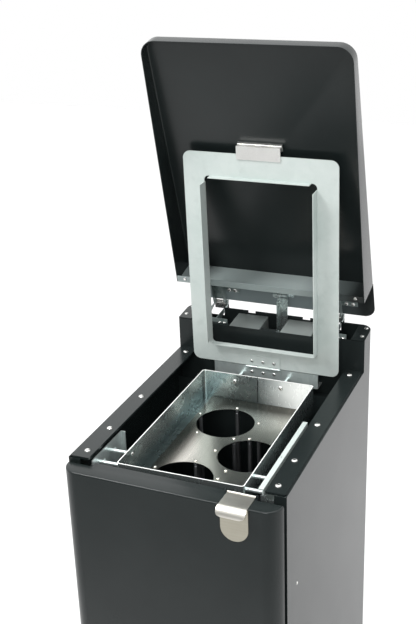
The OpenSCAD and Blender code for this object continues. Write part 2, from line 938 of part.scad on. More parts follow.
module clamp_ring() {
  hole_x = ring_hole_w / 2;
  color("silver") raised_ring() {
    translate([0, 0, ring_under]) linear_extrude(ring_t) ring_plate_outline();
    // the flanges stop short of the two free corners, which stay open as reliefs
    for (side = [-1, 1]) mirror([side < 0 ? 1 : 0, 0, 0])
      block([hole_x - ring_flange_t, -ring_hole_s[1] + ring_relief, ring_under - ring_side_flange],
            [hole_x + tiny, -ring_hole_s[0] - ring_hole_r, ring_under + ring_t]);
    block([-hole_x + ring_relief, -ring_hole_s[1], ring_under - ring_front_flange],
          [hole_x - ring_relief, -ring_hole_s[1] + ring_flange_t, ring_under + ring_t]);
    block([-hole_x + ring_hole_r, -ring_hole_s[0] - ring_flange_t, ring_under - ring_rear_flange],
          [hole_x - ring_hole_r, -ring_hole_s[0] + tiny, ring_under + ring_t]);
    // rounded inner corners beside the hinge
    for (side = [-1, 1]) mirror([side < 0 ? 1 : 0, 0, 0])
      translate([hole_x - ring_hole_r, -ring_hole_s[0] - ring_hole_r, ring_under - ring_rear_flange])
        linear_extrude(ring_rear_flange + ring_t) difference() {
          intersection() {
            square(ring_hole_r + tiny);
            circle(ring_hole_r + tiny);
          }
          circle(ring_hole_r - ring_flange_t);
        }
  }
}

module ring_upper_leaf() {
  color("silver") raised_ring() {
    block([ring_hinge_x[0], -25, ring_under - leaf_t], [ring_hinge_x[1], -2.8, ring_under]);
    difference() {
      union() {
        bar_along_x(knuckle_x[0] + 0.5, knuckle_x[1] - 0.5, 0, 0, knuckle_r);
        block([knuckle_x[0] + 0.5, -2.8, ring_under - leaf_t],
              [knuckle_x[1] - 0.5, -1.4, ring_under]);
      }
      bar_along_x(knuckle_x[0] - 1, knuckle_x[1] + 1, 0, 0, ring_pin_r + running_gap);
    }
  }
}

module ring_grip() {
  low = ring_under - ring_t;
  color("lightgray") raised_ring() {
    block([grip_x[0], -463, low], [grip_x[1], -437, ring_under]);
    block([grip_x[0], -463, ring_under], [grip_x[1], -461, ring_under + 5.5]);
  }
}

module ring_rivets() {
  color("silver") raised_ring() for (x = ring_rivet_x)
    translate([x, -12.5, ring_under - leaf_t]) rotate([180, 0, 0]) head(3.5, 1.6);
}

// ---------- pedal ----------

module pedal_bracket() {
  color("black") deck() for (side = [-1, 1]) mirror([side < 0 ? 1 : 0, 0, 0])
    difference() {
      block([lever_w / 2 + 3, pedal_pivot_y - 14, pedal_pivot_z - 14],
            [lever_w / 2 + 6, pedal_pivot_y + 14, base_z - sheet]);
      bar_along_x(0, 60, pedal_pivot_y, pedal_pivot_z, pedal_pin_r);
    }
}

module pedal_pin() {
  color("silver") deck()
    bar_along_x(-lever_w / 2 - 8, lever_w / 2 + 8, pedal_pivot_y, pedal_pivot_z, pedal_pin_r);
}

// the pedal's own frame: origin on its pivot, +Y along the lever to the rear
module pedal_frame() {
  deck() translate([0, pedal_pivot_y, pedal_pivot_z]) rotate([pedal_slope, 0, 0]) children();
}

module pedal_lever() {
  color("black") pedal_frame() difference() {
    union() {
      block([-lever_w / 2, pedal_front, -lever_h / 2], [lever_w / 2, pedal_rear, lever_h / 2]);
      bar_along_x(-lever_w / 2 - 2, lever_w / 2 + 2, 0, 0, 9);
    }
    bar_along_x(-50, 50, 0, 0, pedal_pin_r + running_gap);
  }
}

module pedal_pad() {
  color("black") pedal_frame() translate([0, 0, lever_h / 2]) linear_extrude(5)
    round_rect(-60, pedal_front - 4, 60, pedal_front + 56, 8);
}

// ---------- drawing ----------

left_side_panel();
right_side_panel();
rear_panel();
base_pan();
plinth_front();
floor_plate();
left_rail();
right_rail();
rail_rivets();
tower_front_wall();
left_tower_post();
right_tower_post();
left_tower_cap();
right_tower_cap();
tower_rivets();
left_cover();
right_cover();
rear_partition();
left_lid_bracket();
right_lid_bracket();
lid_hinge_pins();
bracket_screws();
rear_crossbar();
ring_lower_leaf();
ring_hinge_pin();
leaf_rivets();
left_tray_bracket();
right_tray_bracket();
spacers();
tray_screws();
bag_tray();
cup_plate();
cup_plate_screws();
guide_rods();
cup_floor();
drip_pan();
door_hinge_plates();
door_keeper();
side_screw();
pedal_bracket();
pedal_pin();
lid_shell();
lid_rear_wall();
left_lid_arm();
right_lid_arm();
lid_lug();
lid_catch();
lid_screws();
lift_pin();
lift_bar();
clamp_ring();
ring_upper_leaf();
ring_grip();
ring_rivets();
door_shell();
door_liner();
badge_plate();
latch_plate();
pedal_lever();
pedal_pad();
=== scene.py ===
import json
import math

import bmesh
import bpy
from mathutils import Matrix, Vector


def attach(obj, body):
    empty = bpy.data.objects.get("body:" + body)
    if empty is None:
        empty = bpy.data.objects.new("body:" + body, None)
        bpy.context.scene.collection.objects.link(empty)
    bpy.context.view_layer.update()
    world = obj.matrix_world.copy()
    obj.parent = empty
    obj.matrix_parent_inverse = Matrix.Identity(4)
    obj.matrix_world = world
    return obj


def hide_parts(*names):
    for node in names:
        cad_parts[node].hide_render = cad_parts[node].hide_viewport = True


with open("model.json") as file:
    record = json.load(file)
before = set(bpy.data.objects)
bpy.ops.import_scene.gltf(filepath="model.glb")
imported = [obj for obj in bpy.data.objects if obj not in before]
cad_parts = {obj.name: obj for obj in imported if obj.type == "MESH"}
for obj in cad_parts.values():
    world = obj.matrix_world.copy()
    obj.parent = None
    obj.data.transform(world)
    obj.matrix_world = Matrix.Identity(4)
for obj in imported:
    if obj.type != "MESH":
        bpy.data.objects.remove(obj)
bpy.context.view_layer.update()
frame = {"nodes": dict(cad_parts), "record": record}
nodes = frame["nodes"]

MM = 0.001
CABINET_D = 550.0
DECK_H = 850.0

# ---------------------------------------------------------------- placing


def deck_matrix():
    """The deck frame: X across, Y from the cabinet's front edge, Z from the rail tops, in millimetres."""
    return Matrix.Translation((0, -CABINET_D / 2 * MM, DECK_H * MM)) @ Matrix.Scale(MM, 4)


def turned(point, degrees, axis="X"):
    """A turn about an axis through a point of the deck frame."""
    return (Matrix.Translation(point) @ Matrix.Rotation(math.radians(degrees), 4, axis)
            @ Matrix.Translation(-Vector(point)))


LID_HINGE = (0, 573.9, 75.0)
LID_SLOPE = 4.87
LID_OPEN = 77.0
RING_HINGE = (0, 454.0, -9.0)
RING_OPEN = 88.0
DOOR_AXIS = (-193.0, -11.0, 0)
DOOR_AJAR = 1.5
DOOR_FRONT = -34.0
DOOR_TOP = -10.0
DOOR_LOW = 105.0 - DECK_H
DOOR_HINGE_Z = (-40, DOOR_LOW + 40)
PEDAL_PIVOT = (0, 150, 50 - DECK_H)
PEDAL_DOWN = 5.5
LID_FACE = 2.7  # from the hinge axis to the lid's outer face, square to it
ARM_X = (-152, 104)  # left edges of the two lid arms
ARM_W = 26
LEAF_RIVET_X = (-27, -3, 20.6)
CUPS = ((-31, 312.5, 90), (55.3, 207.5, 108), (-30, 96, 90))  # centre, and the first rod's bearing
CUP_ROD_CIRCLE = 65
RODS_PER_CUP = 5

DECK = deck_matrix()
OPEN_LID = DECK @ turned(LID_HINGE, -LID_OPEN)
LID_SHEET = OPEN_LID @ Matrix.Translation(LID_HINGE) @ Matrix.Rotation(math.radians(LID_SLOPE), 4, "X")
RAISED_RING = DECK @ Matrix.Translation(RING_HINGE) @ Matrix.Rotation(math.radians(-RING_OPEN), 4, "X")
AJAR_DOOR = DECK @ turned(DOOR_AXIS, -DOOR_AJAR, "Z")
PEDAL = DECK @ Matrix.Translation(PEDAL_PIVOT) @ Matrix.Rotation(math.radians(PEDAL_DOWN), 4, "X")

# ---------------------------------------------------------------- materials


class Shader:
    """A node material being put together."""

    def __init__(self, name):
        self.mat = bpy.data.materials.new(name)
        self.mat.use_nodes = True
        self.tree = self.mat.node_tree
        self.bsdf = self.tree.nodes["Principled BSDF"]
        self.coord = self.tree.nodes.new("ShaderNodeTexCoord").outputs["Object"]

    def add(self, kind, **inputs):
        made = self.tree.nodes.new(kind)
        for key, value in inputs.items():
            made.inputs[key.replace("_", " ")].default_value = value
        return made

    def link(self, a, b):
        self.tree.links.new(a, b)

    def stretched(self, scale):
        mapping = self.add("ShaderNodeMapping", Scale=scale)
        self.link(self.coord, mapping.inputs["Vector"])
        return mapping.outputs["Vector"]

    def noise(self, scale, detail=3.0, stretch=(1, 1, 1)):
        made = self.add("ShaderNodeTexNoise", Scale=scale, Detail=detail, Roughness=0.5)
        self.link(self.stretched(stretch), made.inputs["Vector"])
        return made.outputs["Fac"]

    def cells(self, scale, stretch=(1, 1, 1)):
        made = self.add("ShaderNodeTexVoronoi", Scale=scale)
        self.link(self.stretched(stretch), made.inputs["Vector"])
        return made.outputs["Color"]

    def ramp(self, source, stops):
        made = self.tree.nodes.new("ShaderNodeValToRGB")
        elements = made.color_ramp.elements
        while len(elements) < len(stops):
            elements.new(0.5)
        for element, (place, colour) in zip(elements, stops):
            element.position = place
            value = colour if isinstance(colour, tuple) else (colour, colour, colour)
            element.color = (*value, 1)
        self.link(source, made.inputs["Fac"])
        return made.outputs["Color"]

    def mix(self, factor, a, b, blend="MIX"):
        made = self.tree.nodes.new("ShaderNodeMix")
        made.data_type = "RGBA"
        made.blend_type = blend
        for socket, value in ((made.inputs["Factor"], factor), (made.inputs["A"], a), (made.inputs["B"], b)):
            if isinstance(value, bpy.types.NodeSocket):
                self.link(value, socket)
            elif isinstance(value, tuple):
                socket.default_value = (*value, 1)
            else:
                socket.default_value = value
        return made.outputs["Result"]

    def rise(self, axis, low, high):
        """0 below the low coordinate and 1 above the high one, along X, Y or Z in metres."""
        split = self.tree.nodes.new("ShaderNodeSeparateXYZ")
        self.link(self.coord, split.inputs["Vector"])
        made = self.add("ShaderNodeMapRange", From_Min=low, From_Max=high)
        self.link(split.outputs[axis], made.inputs["Value"])
        return made.outputs["Result"]

    def bump(self, height, strength, distance):
        made = self.add("ShaderNodeBump", Strength=strength, Distance=distance)
        self.link(height, made.inputs["Height"])
        self.link(made.outputs["Normal"], self.bsdf.inputs["Normal"])

    def finish(self, colour, roughness, metallic=0.0, coat=0.0, specular=0.5):
        if isinstance(colour, tuple):
            self.bsdf.inputs["Base Color"].default_value = (*colour, 1)
        else:
            self.link(colour, self.bsdf.inputs["Base Color"])
        if isinstance(roughness, float):
            self.bsdf.inputs["Roughness"].default_value = roughness
        else:
            self.link(roughness, self.bsdf.inputs["Roughness"])
        self.bsdf.inputs["Metallic"].default_value = metallic
        self.bsdf.inputs["Coat Weight"].default_value = coat
        self.bsdf.inputs["Specular IOR Level"].default_value = specular
        return self.mat


# where painted shade darkens the lid's wall and flap to black towards their right end, in metres
PAINTED_SHADE_SPAN = (0.06, 0.175)


def powder_coat(name, dark, light, rough_low, rough_high, specular=0.5, painted_shade_right=False):
    """Satin powder coat: orange peel, faint dust and a few rubbed patches."""
    s = Shader(name)
    cloud = s.noise(5.0, 4.0)
    dust = s.noise(900.0, 2.0)
    colour = s.mix(s.ramp(cloud, [(0.35, 0.0), (0.75, 1.0)]), dark, light)
    speck = s.ramp(dust, [(0.76, 0.0), (0.88, 0.06)])
    colour = s.mix(speck, colour, tuple(min(1.0, 3.0 * c + 0.02) for c in light))
    # painted shade: the colour goes to black towards the right end
    if painted_shade_right:
        colour = s.mix(s.rise("X", *PAINTED_SHADE_SPAN), colour, (0.012, 0.015, 0.015))
    rough = s.mix(s.noise(14.0, 5.0), (rough_low,) * 3, (rough_high,) * 3)
    rubbed = s.ramp(s.noise(26.0, 3.0), [(0.60, 0.0), (0.80, 0.12)])
    rough = s.mix(rubbed, rough, (rough_low * 0.85,) * 3)
    s.bump(s.noise(650.0, 2.0), 0.05, 0.0003)
    return s.finish(colour, rough, specular=specular)


def zinc_sheet(name, dark, light, rough_low, rough_high, metallic, spangle_share=0.45, rim=None):
    """Zinc coated sheet: soft spangle cells, blotches and fine rolling lines."""
    s = Shader(name)
    spangle = s.ramp(s.cells(95.0), [(0.15, 0.0), (0.85, 1.0)])
    blotch = s.ramp(s.noise(11.0, 4.0), [(0.32, 0.0), (0.68, 1.0)])
    tone = s.mix(spangle_share, blotch, spangle)
    colour = s.mix(tone, dark, light)
    stain = s.ramp(s.noise(42.0, 5.0), [(0.58, 0.0), (0.72, 0.22)])
    colour = s.mix(stain, colour, tuple(0.72 * c for c in dark))
    rough = s.mix(tone, (rough_high,) * 3, (rough_low,) * 3)
    if rim:
        # painted shade darkens the sheet towards its foot, and a painted highlight lies as a pale, matt band
        # along its top edge
        foot, top = rim
        colour = s.mix(s.rise("Z", foot, top - 0.012), tuple(0.5 * c for c in dark), colour)
        edge = s.rise("Z", top - 0.0009, top - 0.0006)
        # painted light makes the rear wall paler from its seam to its right end
        painted_light_right_end = s.mix(1.0, s.rise("X", -0.004, 0.085), s.rise("Y", 0.1365, 0.1372), "MULTIPLY")
        # pale holds the painted highlight along the top edge and the painted light on the rear wall
        pale = s.mix(1.0, edge, painted_light_right_end, "LIGHTEN")
        colour = s.mix(pale, colour, (0.86, 0.88, 0.86))
        s.link(s.mix(pale, (metallic,) * 3, (0.1,) * 3), s.bsdf.inputs["Metallic"])
    scratch = s.ramp(s.noise(230.0, 2.0, (1, 0.06, 0.3)), [(0.60, 0.0), (0.70, 0.35)])
    rough = s.mix(scratch, rough, (rough_high * 1.25,) * 3)
    s.bump(s.noise(120.0, 3.0), 0.07, 0.0006)
    return s.finish(colour, rough, metallic=metallic)


def brushed(name, dark, light, rough, grain, metallic=1.0):
    """Brushed sheet or bar: fine grain along one direction with hairline scratches."""
    s = Shader(name)
    lines = s.noise(700.0, 3.0, grain)
    colour = s.mix(lines, dark, light)
    smear = s.ramp(s.noise(20.0, 3.0), [(0.4, 0.0), (0.7, 0.3)])
    colour = s.mix(smear, colour, tuple(0.8 * c for c in light))
    roughness = s.mix(s.noise(350.0, 2.0, grain), (rough * 0.75,) * 3, (rough * 1.35,) * 3)
    s.bump(lines, 0.06, 0.0002)
    return s.finish(colour, roughness, metallic=metallic)


# from this far back in the cabinet, in metres, the cup plate carries painted shade and a painted reflection
# of the dark rear wall
PAINTED_SHADE_REAR = (0.075, 0.112)


def cup_steel(name):
    """Brushed steel of the cup plate, darkened along its left and rear edges by painted shade and a painted
    reflection of the dark tray walls.
    """
    s = Shader(name)
    lines = s.noise(700.0, 3.0, (1, 0.03, 1))
    colour = s.mix(lines, (0.62, 0.60, 0.55), (0.84, 0.82, 0.76))
    streak = s.noise(60.0, 3.0, (1, 0.15, 1))
    painted_shade_tone = s.mix(streak, (0.05, 0.047, 0.04), (0.20, 0.19, 0.165))
    # painted shade and a painted reflection of the dark tray walls along the plate's left and rear edges
    rear = s.rise("Y", *PAINTED_SHADE_REAR)
    left = s.rise("X", -0.072, -0.050)
    colour = s.mix(left, s.mix(0.15, painted_shade_tone, colour), colour)
    colour = s.mix(rear, colour, painted_shade_tone)
    roughness = s.mix(s.noise(350.0, 2.0, (1, 0.03, 1)), (0.16,) * 3, (0.26,) * 3)
    s.bump(lines, 0.05, 0.0002)
    return s.finish(colour, roughness, metallic=1.0)


def plastic(name, dark, light, rough):
    s = Shader(name)
    colour = s.mix(s.noise(30.0, 3.0), dark, light)
    roughness = s.mix(s.noise(80.0, 3.0), (rough * 0.85,) * 3, (rough * 1.15,) * 3)
    s.bump(s.noise(500.0, 2.0), 0.18, 0.0004)
    return s.finish(colour, roughness)


BLACK = powder_coat("black_powder_coat", (0.009, 0.0125, 0.0125), (0.014, 0.018, 0.018), 0.23, 0.28, 0.28)
DARK = powder_coat("dark_matt_paint", (0.008, 0.008, 0.009), (0.014, 0.014, 0.015), 0.5, 0.65)
# the lid's rear wall and flap are black paint; these greys are painted light on it
WALL_PAINTED_LIGHT = powder_coat("lid_wall_painted_light", (0.20, 0.245, 0.24), (0.29, 0.33, 0.325), 0.3, 0.42,
                         painted_shade_right=True)
FLAP_PAINTED_LIGHT = powder_coat("lid_flap_painted_light", (0.16, 0.20, 0.205), (0.21, 0.25, 0.255), 0.3, 0.42,
                         painted_shade_right=True)
# the covers are black paint; this grey is painted light on it
COVER_PAINTED_LIGHT = powder_coat("cover_painted_light", (0.17, 0.195, 0.19), (0.24, 0.26, 0.25), 0.3, 0.42)
ZINC = zinc_sheet("zinc_sheet", (0.46, 0.54, 0.54), (0.70, 0.77, 0.76), 0.20, 0.34, 0.92)
# the tray's walls carry painted shade at their foot and painted highlights along the top edge and the rear
# wall's right end
TRAY_ZINC = zinc_sheet("tray_zinc", (0.36, 0.45, 0.45), (0.76, 0.83, 0.82), 0.18, 0.32, 0.92, 0.3,
                       rim=(0.779, 0.8393))
CUP_STEEL = cup_steel("cup_plate_steel")
RING_ZINC = zinc_sheet("ring_zinc", (0.46, 0.52, 0.50), (0.55, 0.60, 0.58), 0.42, 0.56, 0.15, 0.2)
BRIGHT_ZINC = zinc_sheet("bright_zinc", (0.55, 0.63, 0.62), (0.74, 0.80, 0.79), 0.26, 0.40, 0.75)
HINGE_ZINC = zinc_sheet("hinge_zinc", (0.13, 0.17, 0.165), (0.36, 0.42, 0.41), 0.34, 0.48, 0.5)
STEEL = brushed("brushed_stainless", (0.60, 0.58, 0.53), (0.80, 0.78, 0.72), 0.16, (1, 0.03, 1))
GRIP_STEEL = brushed("grip_stainless", (0.78, 0.78, 0.75), (0.90, 0.90, 0.88), 0.40, (1, 0.03, 1))
LATCH_STEEL = brushed("latch_stainless", (0.70, 0.68, 0.62), (0.82, 0.80, 0.74), 0.30, (0.03, 1, 1))
BADGE_STEEL = brushed("badge_stainless", (0.36, 0.34, 0.28), (0.46, 0.44, 0.37), 0.42, (0.03, 1, 1))
RIVET = brushed("turned_steel", (0.62, 0.62, 0.60), (0.80, 0.80, 0.78), 0.26, (1, 1, 0.2))
ROD = brushed("rod_grey", (0.30, 0.31, 0.32), (0.42, 0.43, 0.44), 0.42, (1, 1, 0.05))
PLASTIC = plastic("black_plastic", (0.018, 0.018, 0.018), (0.03, 0.03, 0.03), 0.5)

SLOT_MATERIAL = {"black_paint": BLACK, "dark_paint": DARK, "zinc_plate": ZINC, "stainless": STEEL,
                 "rivet_steel": RIVET, "rod_grey": ROD, "black_plastic": PLASTIC}
NODE_SLOT = {part["node"]: part["material_slot"] for part in frame["record"]["subparts"]}


def paint(piece, material):
    piece.data.materials.clear()
    piece.data.materials.append(material)


# ---------------------------------------------------------------- mesh helpers


def add_bevel(piece, width, segments=2, angle=35.0):
    bevel = piece.modifiers.new("edge_bevel", "BEVEL")
    bevel.width = width
    bevel.segments = segments
    bevel.limit_method = "ANGLE"
    bevel.angle_limit = math.radians(angle)
    bevel.harden_normals = False


def smooth(piece, angle=40.0):
    """Smooth shading that keeps edges sharper than the angle."""
    mesh = piece.data
    mesh.shade_smooth()
    mesh.set_sharp_from_angle(angle=math.radians(angle))


def finish_piece(name, bm, matrix, body, material, replaced=(), bevel=0.0, angle=40.0, second=None):
    """Turns a bmesh in millimetres of some frame into a named piece that rides on a body."""
    bmesh.ops.recalc_face_normals(bm, faces=bm.faces)
    mesh = bpy.data.meshes.new(name)
    bm.to_mesh(mesh)
    bm.free()
    mesh.transform(matrix)
    mesh.update()
    piece = bpy.data.objects.new(name, mesh)
    bpy.context.scene.collection.objects.link(piece)
    mesh.materials.append(material)
    if second:
        mesh.materials.append(second)
    smooth(piece, angle)
    if bevel:
        add_bevel(piece, bevel)
    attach(piece, body)
    if replaced:
        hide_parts(*replaced)
    return piece


def bridge(bm, rings, closed=True):
    """Faces between rows of vertices of equal length."""
    for a, b in zip(rings, rings[1:]):
        count = len(a)
        for i in range(count if closed else count - 1):
            j = (i + 1) % count
            bm.faces.new((a[i], a[j], b[j], b[i]))


def row(bm, points):
    return [bm.verts.new(p) for p in points]


def circle(bm, place, radius, height, steps):
    """A round of vertices about local Z."""
    return [bm.verts.new(place @ Vector((radius * math.cos(2 * math.pi * k / steps),
                                         radius * math.sin(2 * math.pi * k / steps), height)))
            for k in range(steps)]


def lathe(bm, profile, place, steps=24):
    """Turns (radius, height) points about local Z; the first and last points close on the axis."""
    rings = []
    for radius, height in profile:
        if radius == 0:
            rings.append([bm.verts.new(place @ Vector((0, 0, height)))])
        else:
            rings.append(circle(bm, place, radius, height, steps))
    for a, b in zip(rings, rings[1:]):
        for i in range(steps):
            j = (i + 1) % steps
            if len(a) == 1:
                bm.faces.new((a[0], b[i], b[j]))
            elif len(b) == 1:
                bm.faces.new((a[i], a[j], b[0]))
            else:
                bm.faces.new((a[i], a[j], b[j], b[i]))


def screw_head(bm, place, r, h, socket=0.5, drop=0.45, sides=6):
    """A domed head with a recessed socket, standing on local z = 0."""
    dome = [(0, -0.2), (r * 0.98, -0.2), (r, 0.0)]
    dome += [(r * math.cos(a) ** 0.8, h * math.sin(a)) for a in (0.35, 0.75, 1.1)]
    top = h * 0.97
    inner = r * socket
    dome += [(inner * 1.12, top)]
    lathe(bm, dome + [(inner * 1.11, top), (inner * 1.1, top - 0.02), (0, top - 0.02)], place, 24)
    cut = [circle(bm, place, inner, top + 0.01, sides),
           circle(bm, place, inner * 0.96, top - h * drop, sides)]
    rim = circle(bm, place, inner * 1.1, top + 0.03, sides)
    bridge(bm, [rim, cut[0], cut[1]])
    bm.faces.new(cut[1])


def bored_block(bm, place, low, high, centre, r, depth, steps=24):
    """A block with a round hole along local Z, standing on the local X-Y plane."""
    corners = [math.atan2(y - centre[1], x - centre[0]) for x in (low[0], high[0]) for y in (low[1], high[1])]
    angles = sorted([2 * math.pi * k / steps - math.pi for k in range(steps)] + corners)

    def edge(a):
        across, along = math.cos(a), math.sin(a)
        room_x = (high[0] - centre[0] if across > 0 else centre[0] - low[0]) / max(abs(across), 1e-9)
        room_y = (high[1] - centre[1] if along > 0 else centre[1] - low[1]) / max(abs(along), 1e-9)
        reach = min(room_x, room_y)
        return centre[0] + across * reach, centre[1] + along * reach

    loops = []
    for z, outside in ((0, True), (depth, True), (depth, False), (0, False)):
        points = [edge(a) if outside else (centre[0] + r * math.cos(a), centre[1] + r * math.sin(a))
                  for a in angles]
        loops.append(row(bm, [place @ Vector((x, y, z)) for x, y in points]))
    bridge(bm, loops + [loops[0]])


def add_box(bm, low, high):
    corners = [(low[0], low[1]), (high[0], low[1]), (high[0], high[1]), (low[0], high[1])]
    levels = [row(bm, [(x, y, z) for x, y in corners]) for z in (low[2], high[2])]
    bridge(bm, levels)
    bm.faces.new(levels[0])
    bm.faces.new(levels[1])


def cut_box(piece, place, low, high):
    """Cuts a box, given in millimetres of a frame, out of a piece."""
    bm = bmesh.new()
    add_box(bm, low, high)
    bmesh.ops.recalc_face_normals(bm, faces=bm.faces)
    mesh = bpy.data.meshes.new("cutter")
    bm.to_mesh(mesh)
    bm.free()
    mesh.transform(place)
    cutter = bpy.data.objects.new("cutter", mesh)
    bpy.context.scene.collection.objects.link(cutter)
    cut = piece.modifiers.new("cut", "BOOLEAN")
    cut.operation = "DIFFERENCE"
    cut.solver = "EXACT"
    cut.use_self = True
    cut.object = cutter
    bpy.context.view_layer.update()
    result = bpy.data.meshes.new_from_object(piece.evaluated_get(bpy.context.evaluated_depsgraph_get()))
    piece.modifiers.remove(cut)
    piece.data = result
    bpy.data.objects.remove(cutter)
    bpy.data.meshes.remove(mesh)


def facing(point, direction):
    """Places local Z along a direction, at a point."""
    return Matrix.Translation(point) @ Vector(direction).to_track_quat("Z", "Y").to_matrix().to_4x4()


# ---------------------------------------------------------------- folded sheet pieces


def arc(cx, cy, r, a0, a1, steps):
    return [(cx + r * math.cos(math.radians(a0 + (a1 - a0) * k / steps)),
             cy + r * math.sin(math.radians(a0 + (a1 - a0) * k / steps))) for k in range(steps + 1)]


def front_path(w, front, rear, r, inset, steps=10):
    """Right rear, round the two front corners, to left rear, seen from above."""
    half, edge, radius = w - inset, front + inset, r - inset
    return ([(half, rear)] + arc(half - radius, edge + radius, radius, 0, -90, steps)
            + arc(-half + radius, edge + radius, radius, -90, -180, steps) + [(-half, rear)])


def roof(y):
    """Height of the closed lid's outer face."""
    return LID_HINGE[2] + (y - LID_HINGE[1]) * math.tan(math.radians(LID_SLOPE)) \
        + LID_FACE / math.cos(math.radians(LID_SLOPE))


def make_lid():
    """The lid's folded sheet: skirts, softly bent edges and a flat top that runs on as a flap."""
    half, front, wall, rear = 198.5, -38.0, 482.0, 567.6
    corner, rear_corner, bend, sheet = 29.0, 23.0, 4.0, 1.5
    bm = bmesh.new()

    def level(inset, height_of):
        return row(bm, [(x, y, height_of(y)) for x, y in front_path(half, front, wall, corner, inset)])

    outer = [level(0, lambda y: 1.0), level(0, lambda y: roof(y) - bend)]
    inner = [level(sheet, lambda y: 1.0), level(sheet, lambda y: roof(y) - bend)]
    for k in range(1, 6):
        a = math.pi / 2 * k / 5
        outer.append(level(bend * (1 - math.cos(a)), lambda y, a=a: roof(y) - bend * (1 - math.sin(a))))
        small = bend - sheet
        inner.append(level(bend - small * math.cos(a), lambda y, a=a: roof(y) - bend + small * math.sin(a)))
    bridge(bm, outer, closed=False)
    bridge(bm, inner, closed=False)
    bridge(bm, [outer[0], inner[0]], closed=False)
    for end in (0, -1):
        bm.faces.new([r[end] for r in outer] + [r[end] for r in reversed(inner)])

    def sheet_face(loop, drop, flap_material):
        flap = ([(-half, wall + 0.2)] + arc(-half + rear_corner, rear - rear_corner, rear_corner, 180, 90, 8)
                + arc(half - rear_corner, rear - rear_corner, rear_corner, 90, 0, 8) + [(half, wall + 0.2)])
        extra = row(bm, [(x, y, roof(y) - drop) for x, y in flap])
        bm.faces.new(loop)
        bm.faces.new([loop[-1]] + extra + [loop[0]]).material_index = flap_material
        return extra

    top = sheet_face(outer[-1], 0.0, 0)
    under = sheet_face(inner[-1], sheet, 1)
    bridge(bm, [top, under], closed=False)
    return finish_piece("lid_sheet", bm, OPEN_LID, "lid", BLACK, ("lid_shell",),
                        second=FLAP_PAINTED_LIGHT)


def make_door():
    """The door: a folded front with rolled upper and lower edges and a shelf on top."""
    bend, sheet = 3.0, 2.0
    bm = bmesh.new()

    def level(inset, z):
        return row(bm, [(x, y, z) for x, y in front_path(200.0, DOOR_FRONT, -4.0, 30.0, inset, 12)])

    rings = [level(bend, DOOR_LOW)]
    for k in range(1, 5):
        a = math.pi / 2 * k / 4
        rings.append(level(bend * (1 - math.sin(a)), DOOR_LOW + bend * (1 - math.cos(a))))
    for k in range(0, 5):
        a = math.pi / 2 * k / 4
        rings.append(level(bend * (1 - math.cos(a)), DOOR_TOP - bend * (1 - math.sin(a))))
    bridge(bm, rings, closed=False)
    inside = [level(sheet + bend, DOOR_LOW + sheet), level(sheet, DOOR_LOW + sheet + bend),
              level(sheet, DOOR_TOP - sheet - bend), level(sheet + bend, DOOR_TOP - sheet)]
    bridge(bm, inside, closed=False)
    for end in (0, -1):
        bm.faces.new([r[end] for r in rings] + [r[end] for r in reversed(inside)])
    tongue = [(-152.2, -4.0), (-152.2, 8.0), (-151.2, 9.0), (151.2, 9.0), (152.2, 8.0), (152.2, -4.0)]
    upper = row(bm, [(x, y, DOOR_TOP) for x, y in tongue])
    lower = row(bm, [(x, y, DOOR_TOP - sheet) for x, y in tongue])
    bm.faces.new(rings[-1] + upper)
    bm.faces.new(inside[-1] + lower)
    bridge(bm, [upper, lower], closed=False)
    bm.faces.new((rings[-1][-1], upper[0], lower[0], inside[-1][-1]))
    bm.faces.new((upper[-1], rings[-1][0], inside[-1][0], lower[-1]))
    bm.faces.new(rings[0])
    bm.faces.new(inside[0])
    bm.faces.new((rings[0][0], rings[0][-1], inside[0][-1], inside[0][0]))
    for z in DOOR_HINGE_Z:
        bored_block(bm, Matrix.Translation((0, 0, z + 3.6)), (-196.4, -17), (-184, -6), DOOR_AXIS, 2.6, 12.4)
    for x in (96.0, 149.5):
        across = Matrix.Translation((x, 0, 0)) @ Matrix.Rotation(math.radians(90), 4, "Y")
        bored_block(bm, across, (5.5, 0.5), (9.95, 5.5), (8, 3), 1.55, 2.5)
    door = finish_piece("door_front", bm, AJAR_DOOR, "door", BLACK, ("door_shell",))
    for z in DOOR_HINGE_Z:
        cut_box(door, AJAR_DOOR, (-201, -22, z - 3), (-190, 0, z + 3.5))
    return door


